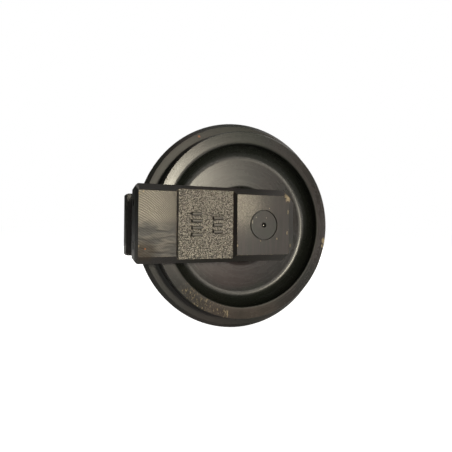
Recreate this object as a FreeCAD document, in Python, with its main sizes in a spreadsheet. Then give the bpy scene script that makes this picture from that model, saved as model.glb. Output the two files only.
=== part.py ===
import FreeCAD, Part
import os
import Sketcher
from types import SimpleNamespace
from FreeCAD import Vector

# Front idler of a small tracked machine: a flanged wheel that turns on a fixed shaft, carried by
# two mirror-image sliding brackets whose tails run back to the track tensioner.
#
# Frame, in millimetres: the wheel's axis is Y and its centre is the origin, +Z is up, and the
# brackets' tails point to -X. The "near" pieces are on the -Y side, the "far" ones on the +Y side.
# "Height" of a bracket face means its distance from the wheel's middle plane, along Y.

doc = FreeCAD.newDocument("front_idler")

# %% Driving dimensions ---------------------------------------------------------------------------

DIMENSIONS = [
    # wheel
    ("flange_radius", 165.0, "outside radius of the central guide flange"),
    ("flange_land", 4.8, "width of the flat on the flange's outside"),
    ("flange_chamfer", 6.0, "chamfer from the land to the flange's side faces"),
    ("tread_radius", 144.8, "radius of the two treads that carry the track links"),
    ("tread_fillet", 3.7, "fillet between a tread and the flange"),
    ("rim_width", 73.0, "overall width of the rim"),
    ("rim_chamfer", 1.5, "chamfer on the rim's outer edges"),
    ("recess_radius", 125.4, "radius of the dished recess at the rim face"),
    ("recess_chamfer", 1.2, "chamfer on the recess mouth"),
    ("recess_mouth_fillet", 2.6, "rounding from that chamfer to the rim's face"),
    ("recess_fillet", 20.0, "fillet between the web and the recess wall"),
    ("web_thickness", 24.0, "thickness of the web"),
    ("hub_radius", 54.0, "outside radius of the hub"),
    ("hub_width", 77.0, "overall width of the hub"),
    ("hub_fillet", 10.5, "fillet between the hub and the web"),
    ("hub_chamfer", 1.5, "chamfer on the hub's ends"),
    ("reservoir_radius", 30.0, "radius of the oil space between the bushes"),
    ("reservoir_width", 12.0, "width of the oil space between the bushes"),
    # shaft
    ("shaft_radius", 21.0, "radius of the fixed shaft"),
    ("end_relief", 1.3, "how much smaller the shaft is at its two ends"),
    ("end_relief_length", 2.0, "length of each smaller end"),
    ("centre_hole_radius", 3.6, "mouth radius of the lathe centre in the near end"),
    ("centre_hole_depth", 6.0, "depth of the lathe centre"),
    ("gallery_radius", 3.0, "radius of the oil gallery and of its cross hole"),
    ("gallery_reach", 5.0, "how far the gallery runs past the wheel's middle plane"),
    ("plug_recess_radius", 9.5, "radius of the recess that holds the oil plug's head"),
    ("plug_recess_depth", 7.0, "depth of that recess"),
    # bushes
    ("bush_wall", 3.0, "wall thickness of a bush"),
    ("bush_flange_reach", 5.95, "how far the thrust flange stands out beyond the bush's outside"),
    ("bush_flange_thickness", 3.0, "thickness of the thrust flange"),
    ("bush_end_gap", 0.5, "gap between a bush's inner end and the oil space"),
    ("bush_stand_out", 1.0, "how far the thrust flange stands out of its seat"),
    # floating seals
    ("seal_plane", 39.5, "height of the plane where the two seal rings meet"),
    ("seal_bore_gap", 1.8, "gap between a seal ring's bore and the spigot"),
    ("seal_lip_reach", 8.8, "radial width of a seal ring over its lip"),
    ("seal_lip_thickness", 3.0, "thickness of the lip"),
    ("seal_ring_length", 9.0, "axial length of a seal ring"),
    ("seal_tail_width", 3.6, "radial width of a seal ring at its thin end"),
    ("seal_ramp_rise", 1.4, "how far the ramp rises from the thin end to the lip"),
    ("toric_section_radius", 3.3, "section radius of a rubber toric ring"),
    ("toric_seat_gap", 0.15, "gap between a toric ring and what it presses on"),
    ("seal_pocket_depth", 10.5, "depth of a seal pocket behind the seal plane"),
    ("seal_film", 0.05, "oil film between the two seal rings"),
    # brackets
    ("pad_height", 89.5, "height of the machined guide pads, level with the shaft's ends"),
    ("middle_height", 84.0, "height of the as-cast face between the pads"),
    ("edge_height", 77.0, "height of the edge where the sloped sides begin"),
    ("inner_height", 42.0, "height of the bracket's inner face"),
    ("bracket_depth", 102.6, "outline size along Z"),
    ("tail_length", 175.0, "distance from the shaft to the end of the tail"),
    ("nose_length", 55.0, "distance from the shaft to the bracket's front end"),
    ("inner_draft", 2.2, "how far the top and bottom lean in towards the inner face"),
    ("side_inset", 9.8, "how far the sloped sides lean in, top and bottom"),
    ("tail_inset", 2.8, "how far the tail end leans in"),
    ("nose_inset", 15.0, "how far the front end leans in"),
    ("tail_corner_cut", 3.2, "flat across the tail's corners"),
    ("nose_corner_cut", 18.0, "flat across the front end's corners"),
    ("pad_corner_cut", 0.8, "flat across the corners at pad height"),
    ("front_pad_length", 40.5, "front pad's reach from the shaft towards the tail"),
    ("tail_pad_length", 47.5, "length of the tail pad"),
    ("step_run", 4.0, "run of the sloping step between a pad and the middle face"),
    ("cast_fillet", 1.6, "fillet on the bracket's as-cast edges"),
    ("boss_wall", 7.5, "wall of the boss around the seal pocket"),
    ("boss_height", 40.2, "height of that boss's face"),
    ("spigot_wall", 4.38, "wall of the spigot around the shaft"),
    ("thrust_gap", 0.1, "running gap between the spigot and the bush's flange"),
    ("bore_chamfer", 0.3, "chamfer on the mouth of the bracket's bore"),
    ("bolt_hole_radius", 6.0, "tapping radius of the tail bolt holes"),
    ("bolt_hole_depth", 28.0, "depth of the tail bolt holes"),
    ("bolt_height", 59.5, "height of the tail bolt holes"),
    ("bolt_spacing", 56.0, "distance between a tail's two bolt holes, along Z"),
    # lock pins, shaft rings and oil plug
    ("lock_pin_radius", 5.0, "radius of a lock pin"),
    ("lock_pin_bite", 3.0, "how far inside the shaft's surface a lock pin's axis lies"),
    ("lock_pin_height", 68.0, "height of a lock pin"),
    ("lock_pin_length", 92.0, "length of a lock pin"),
    ("lock_pin_wall", 2.0, "wall thickness of the rolled lock pin"),
    ("lock_pin_slot", 1.2, "width of the slot along the rolled lock pin"),
    ("ring_height", 56.0, "height of the shaft's sealing ring"),
    ("ring_groove_width", 3.4, "width of the sealing ring's groove"),
    ("ring_groove_depth", 2.5, "depth of the sealing ring's groove"),
    ("plug_thread_radius", 5.0, "radius of the oil plug's thread"),
    ("plug_thread_length", 9.0, "length of the oil plug's thread"),
    ("plug_head_radius", 8.0, "radius of the oil plug's head"),
    ("plug_head_thickness", 4.5, "thickness of the oil plug's head"),
    ("plug_head_chamfer", 0.5, "chamfer on the oil plug's head"),
    ("plug_end_gap", 1.0, "room beyond the end of the oil plug's thread"),
    ("plug_socket_width", 6.0, "width across flats of the oil plug's socket"),
    ("plug_socket_depth", 3.0, "depth of the oil plug's socket"),
    ("washer_thickness", 1.0, "thickness of the oil plug's sealing washer"),
    # fits
    ("running_clearance", 0.05, "radial clearance of a bush on the shaft"),
    ("seat_clearance", 0.02, "radial clearance of a piece in its seat"),
]

sheet = doc.addObject("Spreadsheet::Sheet", "Sizes")
for row, (alias, value, meaning) in enumerate(DIMENSIONS, start=1):
    sheet.set(f"A{row}", meaning)
    sheet.set(f"B{row}", str(value))
    sheet.setAlias(f"B{row}", alias)
doc.recompute()


class Size:
    """A length that carries its number and the sheet expression that it comes from."""

    def __init__(self, value, text):
        self.value = value
        self.text = text

    def _joined(self, other, sign, value):
        return Size(value, f"({self.text} {sign} {as_size(other).text})")

    def __add__(self, other):
        return self._joined(other, "+", self.value + as_size(other).value)

    def __sub__(self, other):
        return self._joined(other, "-", self.value - as_size(other).value)

    def __mul__(self, other):
        return self._joined(other, "*", self.value * as_size(other).value)

    def __truediv__(self, other):
        return self._joined(other, "/", self.value / as_size(other).value)

    def __neg__(self):
        return Size(-self.value, f"(0 - {self.text})")


def as_size(length):
    """Lets plain numbers take part in sums of sizes."""
    return length if isinstance(length, Size) else Size(float(length), str(length))


S = SimpleNamespace(**{alias: Size(value, f"Sizes.{alias}") for alias, value, _ in DIMENSIONS})

# %% Helpers --------------------------------------------------------------------------------------

H_AXIS, V_AXIS, START, END = -1, -2, 1, 2
PAST = 5.0        # how far a cutting outline reaches past the face that it opens
SUNK = 1.0        # how far an added boss reaches into the block that it grows from
RAMP_SLOPE = 1.04  # a toric ring's radial size on its sloping ramp, over its section radius
ROOT_THREE = 3 ** 0.5


def origin_plane(body, role):
    return next(feature for feature in body.Origin.OriginFeatures if feature.Role == role)


def start_sketch(body, name, role, offset=None):
    """A sketch on one of the body's own origin planes, moved along the plane's normal."""
    sketch = body.newObject("Sketcher::SketchObject", name)
    sketch.AttachmentSupport = [(origin_plane(body, role), "")]
    sketch.MapMode = "FlatFace"
    if offset is not None:
        sketch.setExpression("AttachmentOffset.Base.z", offset.text)
    return sketch


def tie(sketch, direction, axis, item, point, length):
    """Fixes one coordinate of a sketch point to the sheet."""
    if length.value == 0:
        sketch.addConstraint(Sketcher.Constraint("PointOnObject", item, point, axis))
        return
    index = sketch.addConstraint(Sketcher.Constraint(direction, H_AXIS, 1, item, point, length.value))
    sketch.setExpression(f"Constraints[{index}]", length.text)


def tie_point(sketch, item, point, place):
    tie(sketch, "DistanceX", V_AXIS, item, point, as_size(place[0]))
    tie(sketch, "DistanceY", H_AXIS, item, point, as_size(place[1]))


def polygon(sketch, corners):
    """A closed outline of straight lines through the corners, each a pair of sizes."""
    places = [Vector(as_size(x).value, as_size(y).value, 0) for x, y in corners]
    count = len(places)
    first = sketch.GeometryCount
    for index in range(count):
        sketch.addGeometry(Part.LineSegment(places[index], places[(index + 1) % count]))
    for index in range(count):
        follower = first + (index + 1) % count
        sketch.addConstraint(Sketcher.Constraint("Coincident", first + index, END, follower, START))
    for index, corner in enumerate(corners):
        tie_point(sketch, first + index, START, corner)


def circle(sketch, centre, radius):
    centre_place = Vector(as_size(centre[0]).value, as_size(centre[1]).value, 0)
    item = sketch.addGeometry(Part.Circle(centre_place, Vector(0, 0, 1), radius.value))
    tie_point(sketch, item, 3, centre)
    index = sketch.addConstraint(Sketcher.Constraint("Radius", item, radius.value))
    sketch.setExpression(f"Constraints[{index}]", radius.text)


def add_feature(body, kind, name, sketch, cuts):
    """Adds a feature that uses the sketch, recomputes, and makes sure that it did its work."""
    before = body.Shape.Volume if body.Tip else 0.0
    feature = body.newObject(f"PartDesign::{kind}", name)
    feature.Profile = (sketch, [""])
    return feature, before, cuts


def finish_feature(step):
    feature, before, cuts = step
    doc.recompute()
    after = feature.Shape.Volume
    changed = after < before - 1e-6 if cuts else after > before + 1e-6
    if not changed:
        raise RuntimeError(f"{feature.Label} changed nothing: {before:.1f} -> {after:.1f} mm3")
    return feature


def turn(body, name, outlines, cuts=False):
    """Revolves outlines of (radius, Y) about the Y axis, to add or to cut."""
    sketch = start_sketch(body, name + "_profile", "XY_Plane")
    for corners in outlines:
        polygon(sketch, corners)
    step = add_feature(body, "Groove" if cuts else "Revolution", name, sketch, cuts)
    step[0].ReferenceAxis = (sketch, ["V_Axis"])
    step[0].Angle = 360.0
    return finish_feature(step)


def cut_through(body, name, sketch):
    """Cuts the sketch right through the body, both ways from its plane."""
    step = add_feature(body, "Pocket", name, sketch, True)
    step[0].Type = "ThroughAll"
    step[0].Midplane = True
    return finish_feature(step)


def cut_along_normal(body, name, sketch, depth):
    """Cuts from the sketch along its plane's normal."""
    step = add_feature(body, "Pocket", name, sketch, True)
    step[0].Reversed = True
    step[0].setExpression("Length", depth.text)
    return finish_feature(step)


def round_edges(body, name, radius, is_wanted):
    """Fillets the edges of the body's tip that is_wanted picks."""
    tip = body.Tip
    picked = [f"Edge{i}" for i, edge in enumerate(tip.Shape.Edges, start=1) if is_wanted(edge)]
    if not picked:
        raise RuntimeError(f"{name} found no edge to round")
    fillet = body.newObject("PartDesign::Fillet", name)
    fillet.Base = (tip, picked)
    fillet.setExpression("Radius", radius.text)
    doc.recompute()
    return fillet


def near(number, target, slack=0.01):
    return abs(number - target) < slack


def ring_edge(radius, *heights):
    """Picks full circles about the Y axis with this radius, at these Y places."""
    def is_wanted(edge):
        curve = edge.Curve
        if not isinstance(curve, Part.Circle) or not near(curve.Radius, radius.value):
            return False
        return any(near(curve.Center.y, as_size(height).value) for height in heights)
    return is_wanted


def new_body(label):
    body = doc.addObject("PartDesign::Body", label)
    body.Label = label
    return body


def mirrored(source, label):
    """The same piece on the far side of the wheel's middle plane."""
    copy = doc.addObject("Part::Mirroring", label)
    copy.Label = label
    copy.Source = source
    copy.Normal = Vector(0, 1, 0)
    doc.recompute()
    return copy


# %% Wheel ----------------------------------------------------------------------------------------

bush_bore_radius = S.shaft_radius + S.running_clearance
bush_outer_radius = bush_bore_radius + S.bush_wall
bush_flange_radius = bush_outer_radius + S.bush_flange_reach
bush_seat = S.seal_plane - S.seal_pocket_depth           # height of the seal pocket's floor
bush_flange_face = bush_seat + S.bush_stand_out
bush_flange_back = bush_flange_face - S.bush_flange_thickness
spigot_radius = S.shaft_radius + S.seat_clearance + S.spigot_wall
seal_bore_radius = spigot_radius + S.seal_bore_gap
seal_ramp_end = seal_bore_radius + S.seal_tail_width
seal_ramp_start = seal_ramp_end + S.seal_ramp_rise
toric_centre_height = S.seal_lip_thickness + S.toric_section_radius + S.toric_seat_gap
toric_ramp_radius = seal_ramp_start - (S.seal_ramp_rise
                                       * (toric_centre_height - S.seal_lip_thickness)
                                       / (S.seal_ring_length - S.seal_lip_thickness))
toric_centre_radius = toric_ramp_radius + S.toric_section_radius * RAMP_SLOPE + S.toric_seat_gap
seal_pocket_radius = toric_centre_radius + S.toric_section_radius + S.toric_seat_gap
lock_pin_offset = S.shaft_radius - S.lock_pin_bite       # X place of a lock pin's axis


def wheel_half_profile(side):
    """Corners of the wheel's section from the middle plane outwards, side is -1 or +1."""
    rim = S.rim_width / 2 * side
    land = S.flange_land / 2 * side
    flange = (S.flange_land / 2 + S.flange_chamfer) * side
    web = S.web_thickness / 2 * side
    hub = S.hub_width / 2 * side
    rim_break = S.rim_chamfer * side
    recess_break = S.recess_chamfer * side
    hub_break = S.hub_chamfer * side
    return [
        (S.flange_radius, land),
        (S.flange_radius - S.flange_chamfer, flange),
        (S.tread_radius, flange),
        (S.tread_radius, rim - rim_break),
        (S.tread_radius - S.rim_chamfer, rim),
        (S.recess_radius + S.recess_chamfer, rim),
        (S.recess_radius, rim - recess_break),
        (S.recess_radius, web),
        (S.hub_radius, web),
        (S.hub_radius, hub - hub_break),
        (S.hub_radius - S.hub_chamfer, hub),
        (seal_pocket_radius, hub),
        (seal_pocket_radius, bush_seat * side),
        (bush_flange_radius + S.seat_clearance, bush_seat * side),
        (bush_flange_radius + S.seat_clearance, bush_flange_back * side),
        (bush_outer_radius + S.seat_clearance, bush_flange_back * side),
        (bush_outer_radius + S.seat_clearance, S.reservoir_width / 2 * side),
        (S.reservoir_radius, S.reservoir_width / 2 * side),
    ]


def build_wheel():
    body = new_body("idler_wheel")
    outline = wheel_half_profile(-1) + wheel_half_profile(1)[::-1]
    turn(body, "wheel_turned", [outline])
    flange_side = S.flange_land / 2 + S.flange_chamfer
    web_side = S.web_thickness / 2
    rim_side = S.rim_width / 2
    round_edges(body, "tread_fillets", S.tread_fillet,
                ring_edge(S.tread_radius, flange_side, -flange_side))
    round_edges(body, "recess_fillets", S.recess_fillet,
                ring_edge(S.recess_radius, web_side, -web_side))
    round_edges(body, "recess_mouth_fillets", S.recess_mouth_fillet,
                ring_edge(S.recess_radius + S.recess_chamfer, rim_side, -rim_side))
    round_edges(body, "hub_fillets", S.hub_fillet, ring_edge(S.hub_radius, web_side, -web_side))
    return body


# %% Shaft ----------------------------------------------------------------------------------------

def ring_groove(side):
    """Corners of the sealing ring's groove on one side, from the middle outwards."""
    floor = S.shaft_radius - S.ring_groove_depth
    inner = (S.ring_height - S.ring_groove_width / 2) * side
    outer = (S.ring_height + S.ring_groove_width / 2) * side
    return [(S.shaft_radius, inner), (floor, inner), (floor, outer), (S.shaft_radius, outer)]


def build_shaft():
    body = new_body("shaft")
    near_end = -S.pad_height
    far_end = S.pad_height
    recess_floor = far_end - S.plug_recess_depth
    thread_floor = recess_floor - S.plug_thread_length - S.plug_end_gap
    thread_hole = S.plug_thread_radius + S.seat_clearance
    outline = [
        (0, near_end + S.centre_hole_depth),
        (S.centre_hole_radius, near_end),
        (S.shaft_radius - S.end_relief, near_end),
        (S.shaft_radius - S.end_relief, near_end + S.end_relief_length),
        (S.shaft_radius, near_end + S.end_relief_length),
    ]
    outline += ring_groove(-1)[::-1] + ring_groove(1)
    outline += [
        (S.shaft_radius, far_end - S.end_relief_length),
        (S.shaft_radius - S.end_relief, far_end - S.end_relief_length),
        (S.shaft_radius - S.end_relief, far_end),
        (S.plug_recess_radius, far_end),
        (S.plug_recess_radius, recess_floor),
        (thread_hole, recess_floor),
        (thread_hole, thread_floor),
        (S.gallery_radius, thread_floor),
        (S.gallery_radius, -S.gallery_reach),
        (0, -S.gallery_reach - S.gallery_radius / 2),
    ]
    turn(body, "shaft_turned", [outline])
    cross_hole = start_sketch(body, "cross_hole_outline", "XY_Plane")
    circle(cross_hole, (0, 0), S.gallery_radius)
    cut_through(body, "cross_hole", cross_hole)
    notches = start_sketch(body, "lock_notch_outlines", "XY_Plane")
    for side in (-1, 1):
        circle(notches, (lock_pin_offset, S.lock_pin_height * side),
               S.lock_pin_radius + S.seat_clearance)
    cut_through(body, "lock_notches", notches)
    return body


# %% Bracket --------------------------------------------------------------------------------------

def bracket_outline(top, tail, nose, tail_cut, nose_cut):
    """Corners of an outline in X and Z, the same above and below the shaft's axis."""
    return [
        (-tail, top - tail_cut),
        (tail_cut - tail, top),
        (nose - nose_cut, top),
        (nose, top - nose_cut),
        (nose, -(top - nose_cut)),
        (nose - nose_cut, -top),
        (tail_cut - tail, -top),
        (-tail, -(top - tail_cut)),
    ]


def build_bracket():
    """The near bracket: a drafted block, stepped between two pads, bored for shaft and seal."""
    body = new_body("near_bracket")
    half_depth = S.bracket_depth / 2
    sections = [
        ("inner_outline", S.inner_height, bracket_outline(
            half_depth - S.inner_draft, S.tail_length, S.nose_length,
            S.tail_corner_cut, S.nose_corner_cut)),
        ("edge_outline", S.edge_height, bracket_outline(
            half_depth, S.tail_length, S.nose_length, S.tail_corner_cut, S.nose_corner_cut)),
        ("pad_outline", S.pad_height, bracket_outline(
            half_depth - S.side_inset, S.tail_length - S.tail_inset, S.nose_length - S.nose_inset,
            S.pad_corner_cut, S.pad_corner_cut)),
    ]
    sketches = []
    for name, height, corners in sections:
        sketch = start_sketch(body, name, "XZ_Plane", height)
        polygon(sketch, corners)
        sketches.append(sketch)
    step = add_feature(body, "AdditiveLoft", "drafted_block", sketches[0], False)
    step[0].Sections = [(sketch, [""]) for sketch in sketches[1:]]
    step[0].Ruled = True
    finish_feature(step)

    tail_pad_end = -(S.tail_length - S.tail_inset - S.tail_pad_length)
    front_pad_end = -S.front_pad_length
    valley = start_sketch(body, "valley_outline", "XY_Plane")
    polygon(valley, [
        (tail_pad_end, -(S.pad_height + PAST)),
        (tail_pad_end, -S.pad_height),
        (tail_pad_end + S.step_run, -S.middle_height),
        (front_pad_end - S.step_run, -S.middle_height),
        (front_pad_end, -S.pad_height),
        (front_pad_end, -(S.pad_height + PAST)),
    ])
    cut_through(body, "valley", valley)

    round_edges(body, "cast_edges", S.cast_fillet, is_cast_edge)

    thrust_face = bush_flange_face + S.thrust_gap
    pocket_floor = S.seal_plane + S.seal_pocket_depth
    turn(body, "seal_boss", [[
        (0, -thrust_face),
        (spigot_radius, -thrust_face),
        (spigot_radius, -S.boss_height),
        (seal_pocket_radius + S.boss_wall, -S.boss_height),
        (seal_pocket_radius + S.boss_wall, -(S.inner_height + SUNK)),
        (0, -(S.inner_height + SUNK)),
    ]])
    turn(body, "seal_pocket", [[
        (spigot_radius, -(S.boss_height - PAST)),
        (seal_pocket_radius, -(S.boss_height - PAST)),
        (seal_pocket_radius, -pocket_floor),
        (spigot_radius, -pocket_floor),
    ]], cuts=True)
    bore = S.shaft_radius + S.seat_clearance
    turn(body, "shaft_bore", [[
        (0, -(thrust_face - PAST)),
        (bore, -(thrust_face - PAST)),
        (bore, -(S.pad_height - S.bore_chamfer)),
        (bore + S.bore_chamfer, -S.pad_height),
        (bore + S.bore_chamfer, -(S.pad_height + PAST)),
        (0, -(S.pad_height + PAST)),
    ]], cuts=True)

    pin_hole = start_sketch(body, "lock_pin_hole_outline", "XY_Plane")
    circle(pin_hole, (lock_pin_offset, -S.lock_pin_height), S.lock_pin_radius + S.seat_clearance)
    cut_through(body, "lock_pin_hole", pin_hole)

    holes = start_sketch(body, "tail_bolt_outlines", "YZ_Plane", -S.tail_length)
    for side in (-1, 1):
        circle(holes, (-S.bolt_height, S.bolt_spacing / 2 * side), S.bolt_hole_radius)
    cut_along_normal(body, "tail_bolt_holes", holes, S.bolt_hole_depth)
    return body


def is_cast_edge(edge):
    """The outline's edge where the slopes begin, and the upright corners below it."""
    ends = [vertex.Point for vertex in edge.Vertexes]
    if len(ends) != 2:
        return False
    on_edge_line = all(near(-end.y, S.edge_height.value) for end in ends)
    upright = {round(-end.y, 2) for end in ends} == {S.inner_height.value, S.edge_height.value}
    inner_rim = all(near(-end.y, S.inner_height.value) for end in ends)
    return on_edge_line or upright or inner_rim


# %% Bush -----------------------------------------------------------------------------------------

def build_bush():
    body = new_body("near_bush")
    inner_end = S.reservoir_width / 2 + S.bush_end_gap
    turn(body, "bush_turned", [[
        (bush_bore_radius, -inner_end),
        (bush_outer_radius, -inner_end),
        (bush_outer_radius, -bush_flange_back),
        (bush_flange_radius, -bush_flange_back),
        (bush_flange_radius, -bush_flange_face),
        (bush_bore_radius, -bush_flange_face),
    ]])
    return body


# %% Floating seal --------------------------------------------------------------------------------

def build_seal_ring(label, side):
    """One lapped metal ring; side is +1 for the wheel's ring and -1 for the bracket's."""
    body = new_body(label)

    def height(behind_face):
        return -(S.seal_plane - (behind_face + S.seal_film / 2) * side)

    turn(body, label + "_turned", [[
        (seal_bore_radius, height(as_size(0))),
        (seal_bore_radius + S.seal_lip_reach, height(as_size(0))),
        (seal_bore_radius + S.seal_lip_reach, height(S.seal_lip_thickness)),
        (seal_ramp_start, height(S.seal_lip_thickness)),
        (seal_ramp_end, height(S.seal_ring_length)),
        (seal_bore_radius, height(S.seal_ring_length)),
    ]])
    return body


def build_round_ring(label, centre_radius, height, section_radius):
    """A rubber ring of round section about the Y axis."""
    body = new_body(label)
    sketch = start_sketch(body, label + "_profile", "XY_Plane")
    circle(sketch, (centre_radius, -height), section_radius)
    step = add_feature(body, "Revolution", label + "_turned", sketch, False)
    step[0].ReferenceAxis = (sketch, ["V_Axis"])
    step[0].Angle = 360.0
    finish_feature(step)
    return body


# %% Lock pin and oil plug ------------------------------------------------------------------------

def build_lock_pin():
    """A rolled spring pin that stands upright, half in the bracket and half in the shaft."""
    body = new_body("near_lock_pin")
    sketch = start_sketch(body, "lock_pin_outline", "XY_Plane")
    centre = (lock_pin_offset, -S.lock_pin_height)
    circle(sketch, centre, S.lock_pin_radius)
    circle(sketch, centre, S.lock_pin_radius - S.lock_pin_wall)
    step = add_feature(body, "Pad", "lock_pin_tube", sketch, False)
    step[0].Midplane = True
    step[0].setExpression("Length", S.lock_pin_length.text)
    finish_feature(step)
    slot = start_sketch(body, "lock_pin_slot_outline", "XY_Plane")
    slot_start = lock_pin_offset
    slot_end = lock_pin_offset + S.lock_pin_radius + SUNK
    half_slot = S.lock_pin_slot / 2
    polygon(slot, [
        (slot_start, -S.lock_pin_height - half_slot),
        (slot_end, -S.lock_pin_height - half_slot),
        (slot_end, -S.lock_pin_height + half_slot),
        (slot_start, -S.lock_pin_height + half_slot),
    ])
    cut_through(body, "lock_pin_slot", slot)
    return body


plug_seat = S.pad_height - S.plug_recess_depth     # Y place of the recess's floor, on the far end


def build_oil_plug():
    body = new_body("oil_plug")
    head_under = plug_seat + S.washer_thickness
    head_top = head_under + S.plug_head_thickness
    turn(body, "plug_turned", [[
        (0, plug_seat - S.plug_thread_length + S.washer_thickness),
        (S.plug_thread_radius, plug_seat - S.plug_thread_length + S.washer_thickness),
        (S.plug_thread_radius, head_under),
        (S.plug_head_radius, head_under),
        (S.plug_head_radius, head_top - S.plug_head_chamfer),
        (S.plug_head_radius - S.plug_head_chamfer, head_top),
        (0, head_top),
    ]])
    socket = start_sketch(body, "plug_socket_outline", "XZ_Plane", -head_top)
    half_width = S.plug_socket_width / 2
    corner = S.plug_socket_width / ROOT_THREE
    polygon(socket, [
        (corner, 0),
        (corner / 2, half_width),
        (-corner / 2, half_width),
        (-corner, 0),
        (-corner / 2, -half_width),
        (corner / 2, -half_width),
    ])
    cut_along_normal(body, "plug_socket", socket, S.plug_socket_depth)
    return body


def build_plug_washer():
    body = new_body("oil_plug_washer")
    bore = S.plug_thread_radius + S.seat_clearance
    turn(body, "washer_turned", [[
        (bore, plug_seat),
        (S.plug_head_radius, plug_seat),
        (S.plug_head_radius, plug_seat + S.washer_thickness),
        (bore, plug_seat + S.washer_thickness),
    ]])
    return body


# %% Assembly -------------------------------------------------------------------------------------

near_pieces = [
    build_bracket(),
    build_bush(),
    build_seal_ring("near_wheel_seal_ring", 1),
    build_seal_ring("near_bracket_seal_ring", -1),
    build_round_ring("near_wheel_toric_ring", toric_centre_radius,
                     S.seal_plane - toric_centre_height - S.seal_film / 2, S.toric_section_radius),
    build_round_ring("near_bracket_toric_ring", toric_centre_radius,
                     S.seal_plane + toric_centre_height + S.seal_film / 2, S.toric_section_radius),
    build_round_ring("near_shaft_o_ring", S.shaft_radius - S.ring_groove_depth / 2,
                     S.ring_height, S.ring_groove_depth / 2 - S.seat_clearance * 2),
    build_lock_pin(),
]
far_pieces = [mirrored(piece, piece.Label.replace("near_", "far_")) for piece in near_pieces]
single_pieces = [build_wheel(), build_shaft(), build_oil_plug(), build_plug_washer()]
pieces = near_pieces + far_pieces + single_pieces

# %% Checks and export ----------------------------------------------------------------------------

doc.recompute()
for item in doc.Objects:
    if "Invalid" in item.State or "Error" in item.State:
        raise RuntimeError(f"{item.Label} is not valid: {item.State}")
for piece in pieces:
    shape = piece.Shape
    if shape.isNull() or not shape.isValid() or len(shape.Solids) != 1:
        raise RuntimeError(f"{piece.Label} has no single valid solid")

os.makedirs("parts", exist_ok=True)
for piece in pieces:
    piece.Shape.exportStep(f"parts/{piece.Label}.step")
    box = piece.Shape.BoundBox
    print(f"{piece.Label:26s} {piece.Shape.Volume:12.1f} mm3  "
          f"X {box.XMin:7.1f} {box.XMax:7.1f}  Y {box.YMin:7.1f} {box.YMax:7.1f}  "
          f"Z {box.ZMin:7.1f} {box.ZMax:7.1f}")
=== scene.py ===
# %% [markdown]
# # The looks of a front idler
#
# A small crawler machine runs on a loop of track. At the front end of the frame the loop turns round this
# wheel, the idler. The wheel spins on a fixed shaft, and a bracket at each end of the shaft slides in the
# track frame.
#
# The construction is already finished in CAD, with its real sizes. This file loads it as it is, and adds
# what a drawing doesn't have: paint, turning marks, casting grain, cutter marks, knocks and light. Each
# step has a short text first, which says what the thing is on the real object and why it is made this way.

# %% Load the construction
import bpy, bmesh, math
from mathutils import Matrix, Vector


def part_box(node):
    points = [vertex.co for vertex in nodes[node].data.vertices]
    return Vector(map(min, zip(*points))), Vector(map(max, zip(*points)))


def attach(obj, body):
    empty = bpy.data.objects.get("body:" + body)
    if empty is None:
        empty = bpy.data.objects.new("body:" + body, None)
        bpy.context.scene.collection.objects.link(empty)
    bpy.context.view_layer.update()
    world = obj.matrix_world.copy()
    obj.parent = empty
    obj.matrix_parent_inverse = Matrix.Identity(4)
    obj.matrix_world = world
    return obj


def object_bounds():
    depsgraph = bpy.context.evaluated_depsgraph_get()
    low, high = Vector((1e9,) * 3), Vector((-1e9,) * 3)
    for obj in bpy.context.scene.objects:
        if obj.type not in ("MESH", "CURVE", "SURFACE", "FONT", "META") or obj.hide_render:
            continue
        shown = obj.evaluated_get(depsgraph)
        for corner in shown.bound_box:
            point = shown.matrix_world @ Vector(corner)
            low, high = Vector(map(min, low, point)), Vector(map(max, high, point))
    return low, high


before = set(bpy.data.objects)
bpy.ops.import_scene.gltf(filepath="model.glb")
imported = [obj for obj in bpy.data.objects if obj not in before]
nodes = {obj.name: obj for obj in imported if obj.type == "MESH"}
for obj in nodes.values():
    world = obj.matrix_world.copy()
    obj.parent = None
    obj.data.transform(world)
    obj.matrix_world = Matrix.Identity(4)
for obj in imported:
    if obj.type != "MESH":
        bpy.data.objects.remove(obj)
cad_low, cad_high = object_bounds()
print("CAD nodes:", len(nodes), "box:", [round(v, 4) for v in (*cad_low, *cad_high)])

# %% [markdown]
# ## Camera
#
# A near viewpoint makes things that stand out towards the eye look larger than what lies behind them. Here
# the eye is about half a metre from the wheel, level with the shaft and well to the left, so the bracket's
# tail comes forward and the right side of the dish shows its wall. Depth of field stays off, so everything
# is sharp.

# %% Camera
camera = bpy.data.objects.new("Camera", bpy.data.cameras.new("Camera"))
bpy.context.scene.collection.objects.link(camera)
camera.location = (-0.22595, -0.52804, -0.00605)
camera.rotation_euler = [math.radians(a) for a in (90.5039, -0.4559, -21.0649)]
camera.data.sensor_width = 36
camera.data.lens = 27.876
bpy.context.scene.camera = camera
bpy.context.scene.view_settings.view_transform = "Standard"
print("camera at", [round(v, 3) for v in camera.location])

# %% [markdown]
# ## A short way of writing nodes
#
# A material is a small network of nodes. Written out in full, each node takes four or five lines, and the
# idea gets lost among them. `put` adds one node, sets its properties and fills its sockets. `sums` does the
# same for the many small sums, and gives back the answer's socket, ready for the next node. The rest are
# the few steps that come back in every finish: a soft edge, a band, a mix, a distance and a noise.

# %% Node helpers
def put(tree, kind, sockets=None, **settings):
    """Adds a node. A socket given as a value is set, and one given as another node's output is linked."""
    made = tree.nodes.new(kind)
    for name, value in settings.items():
        setattr(made, name, value)
    for name, value in (sockets or {}).items():
        if isinstance(value, bpy.types.NodeSocket):
            tree.links.new(value, made.inputs[name])
        else:
            made.inputs[name].default_value = value
    return made


def sums(tree, operation, *values, clamp=False):
    """One Math node, from up to three numbers or sockets, and its answer."""
    made = put(tree, "ShaderNodeMath", dict(enumerate(values)), operation=operation, use_clamp=clamp)
    return made.outputs[0]


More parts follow.
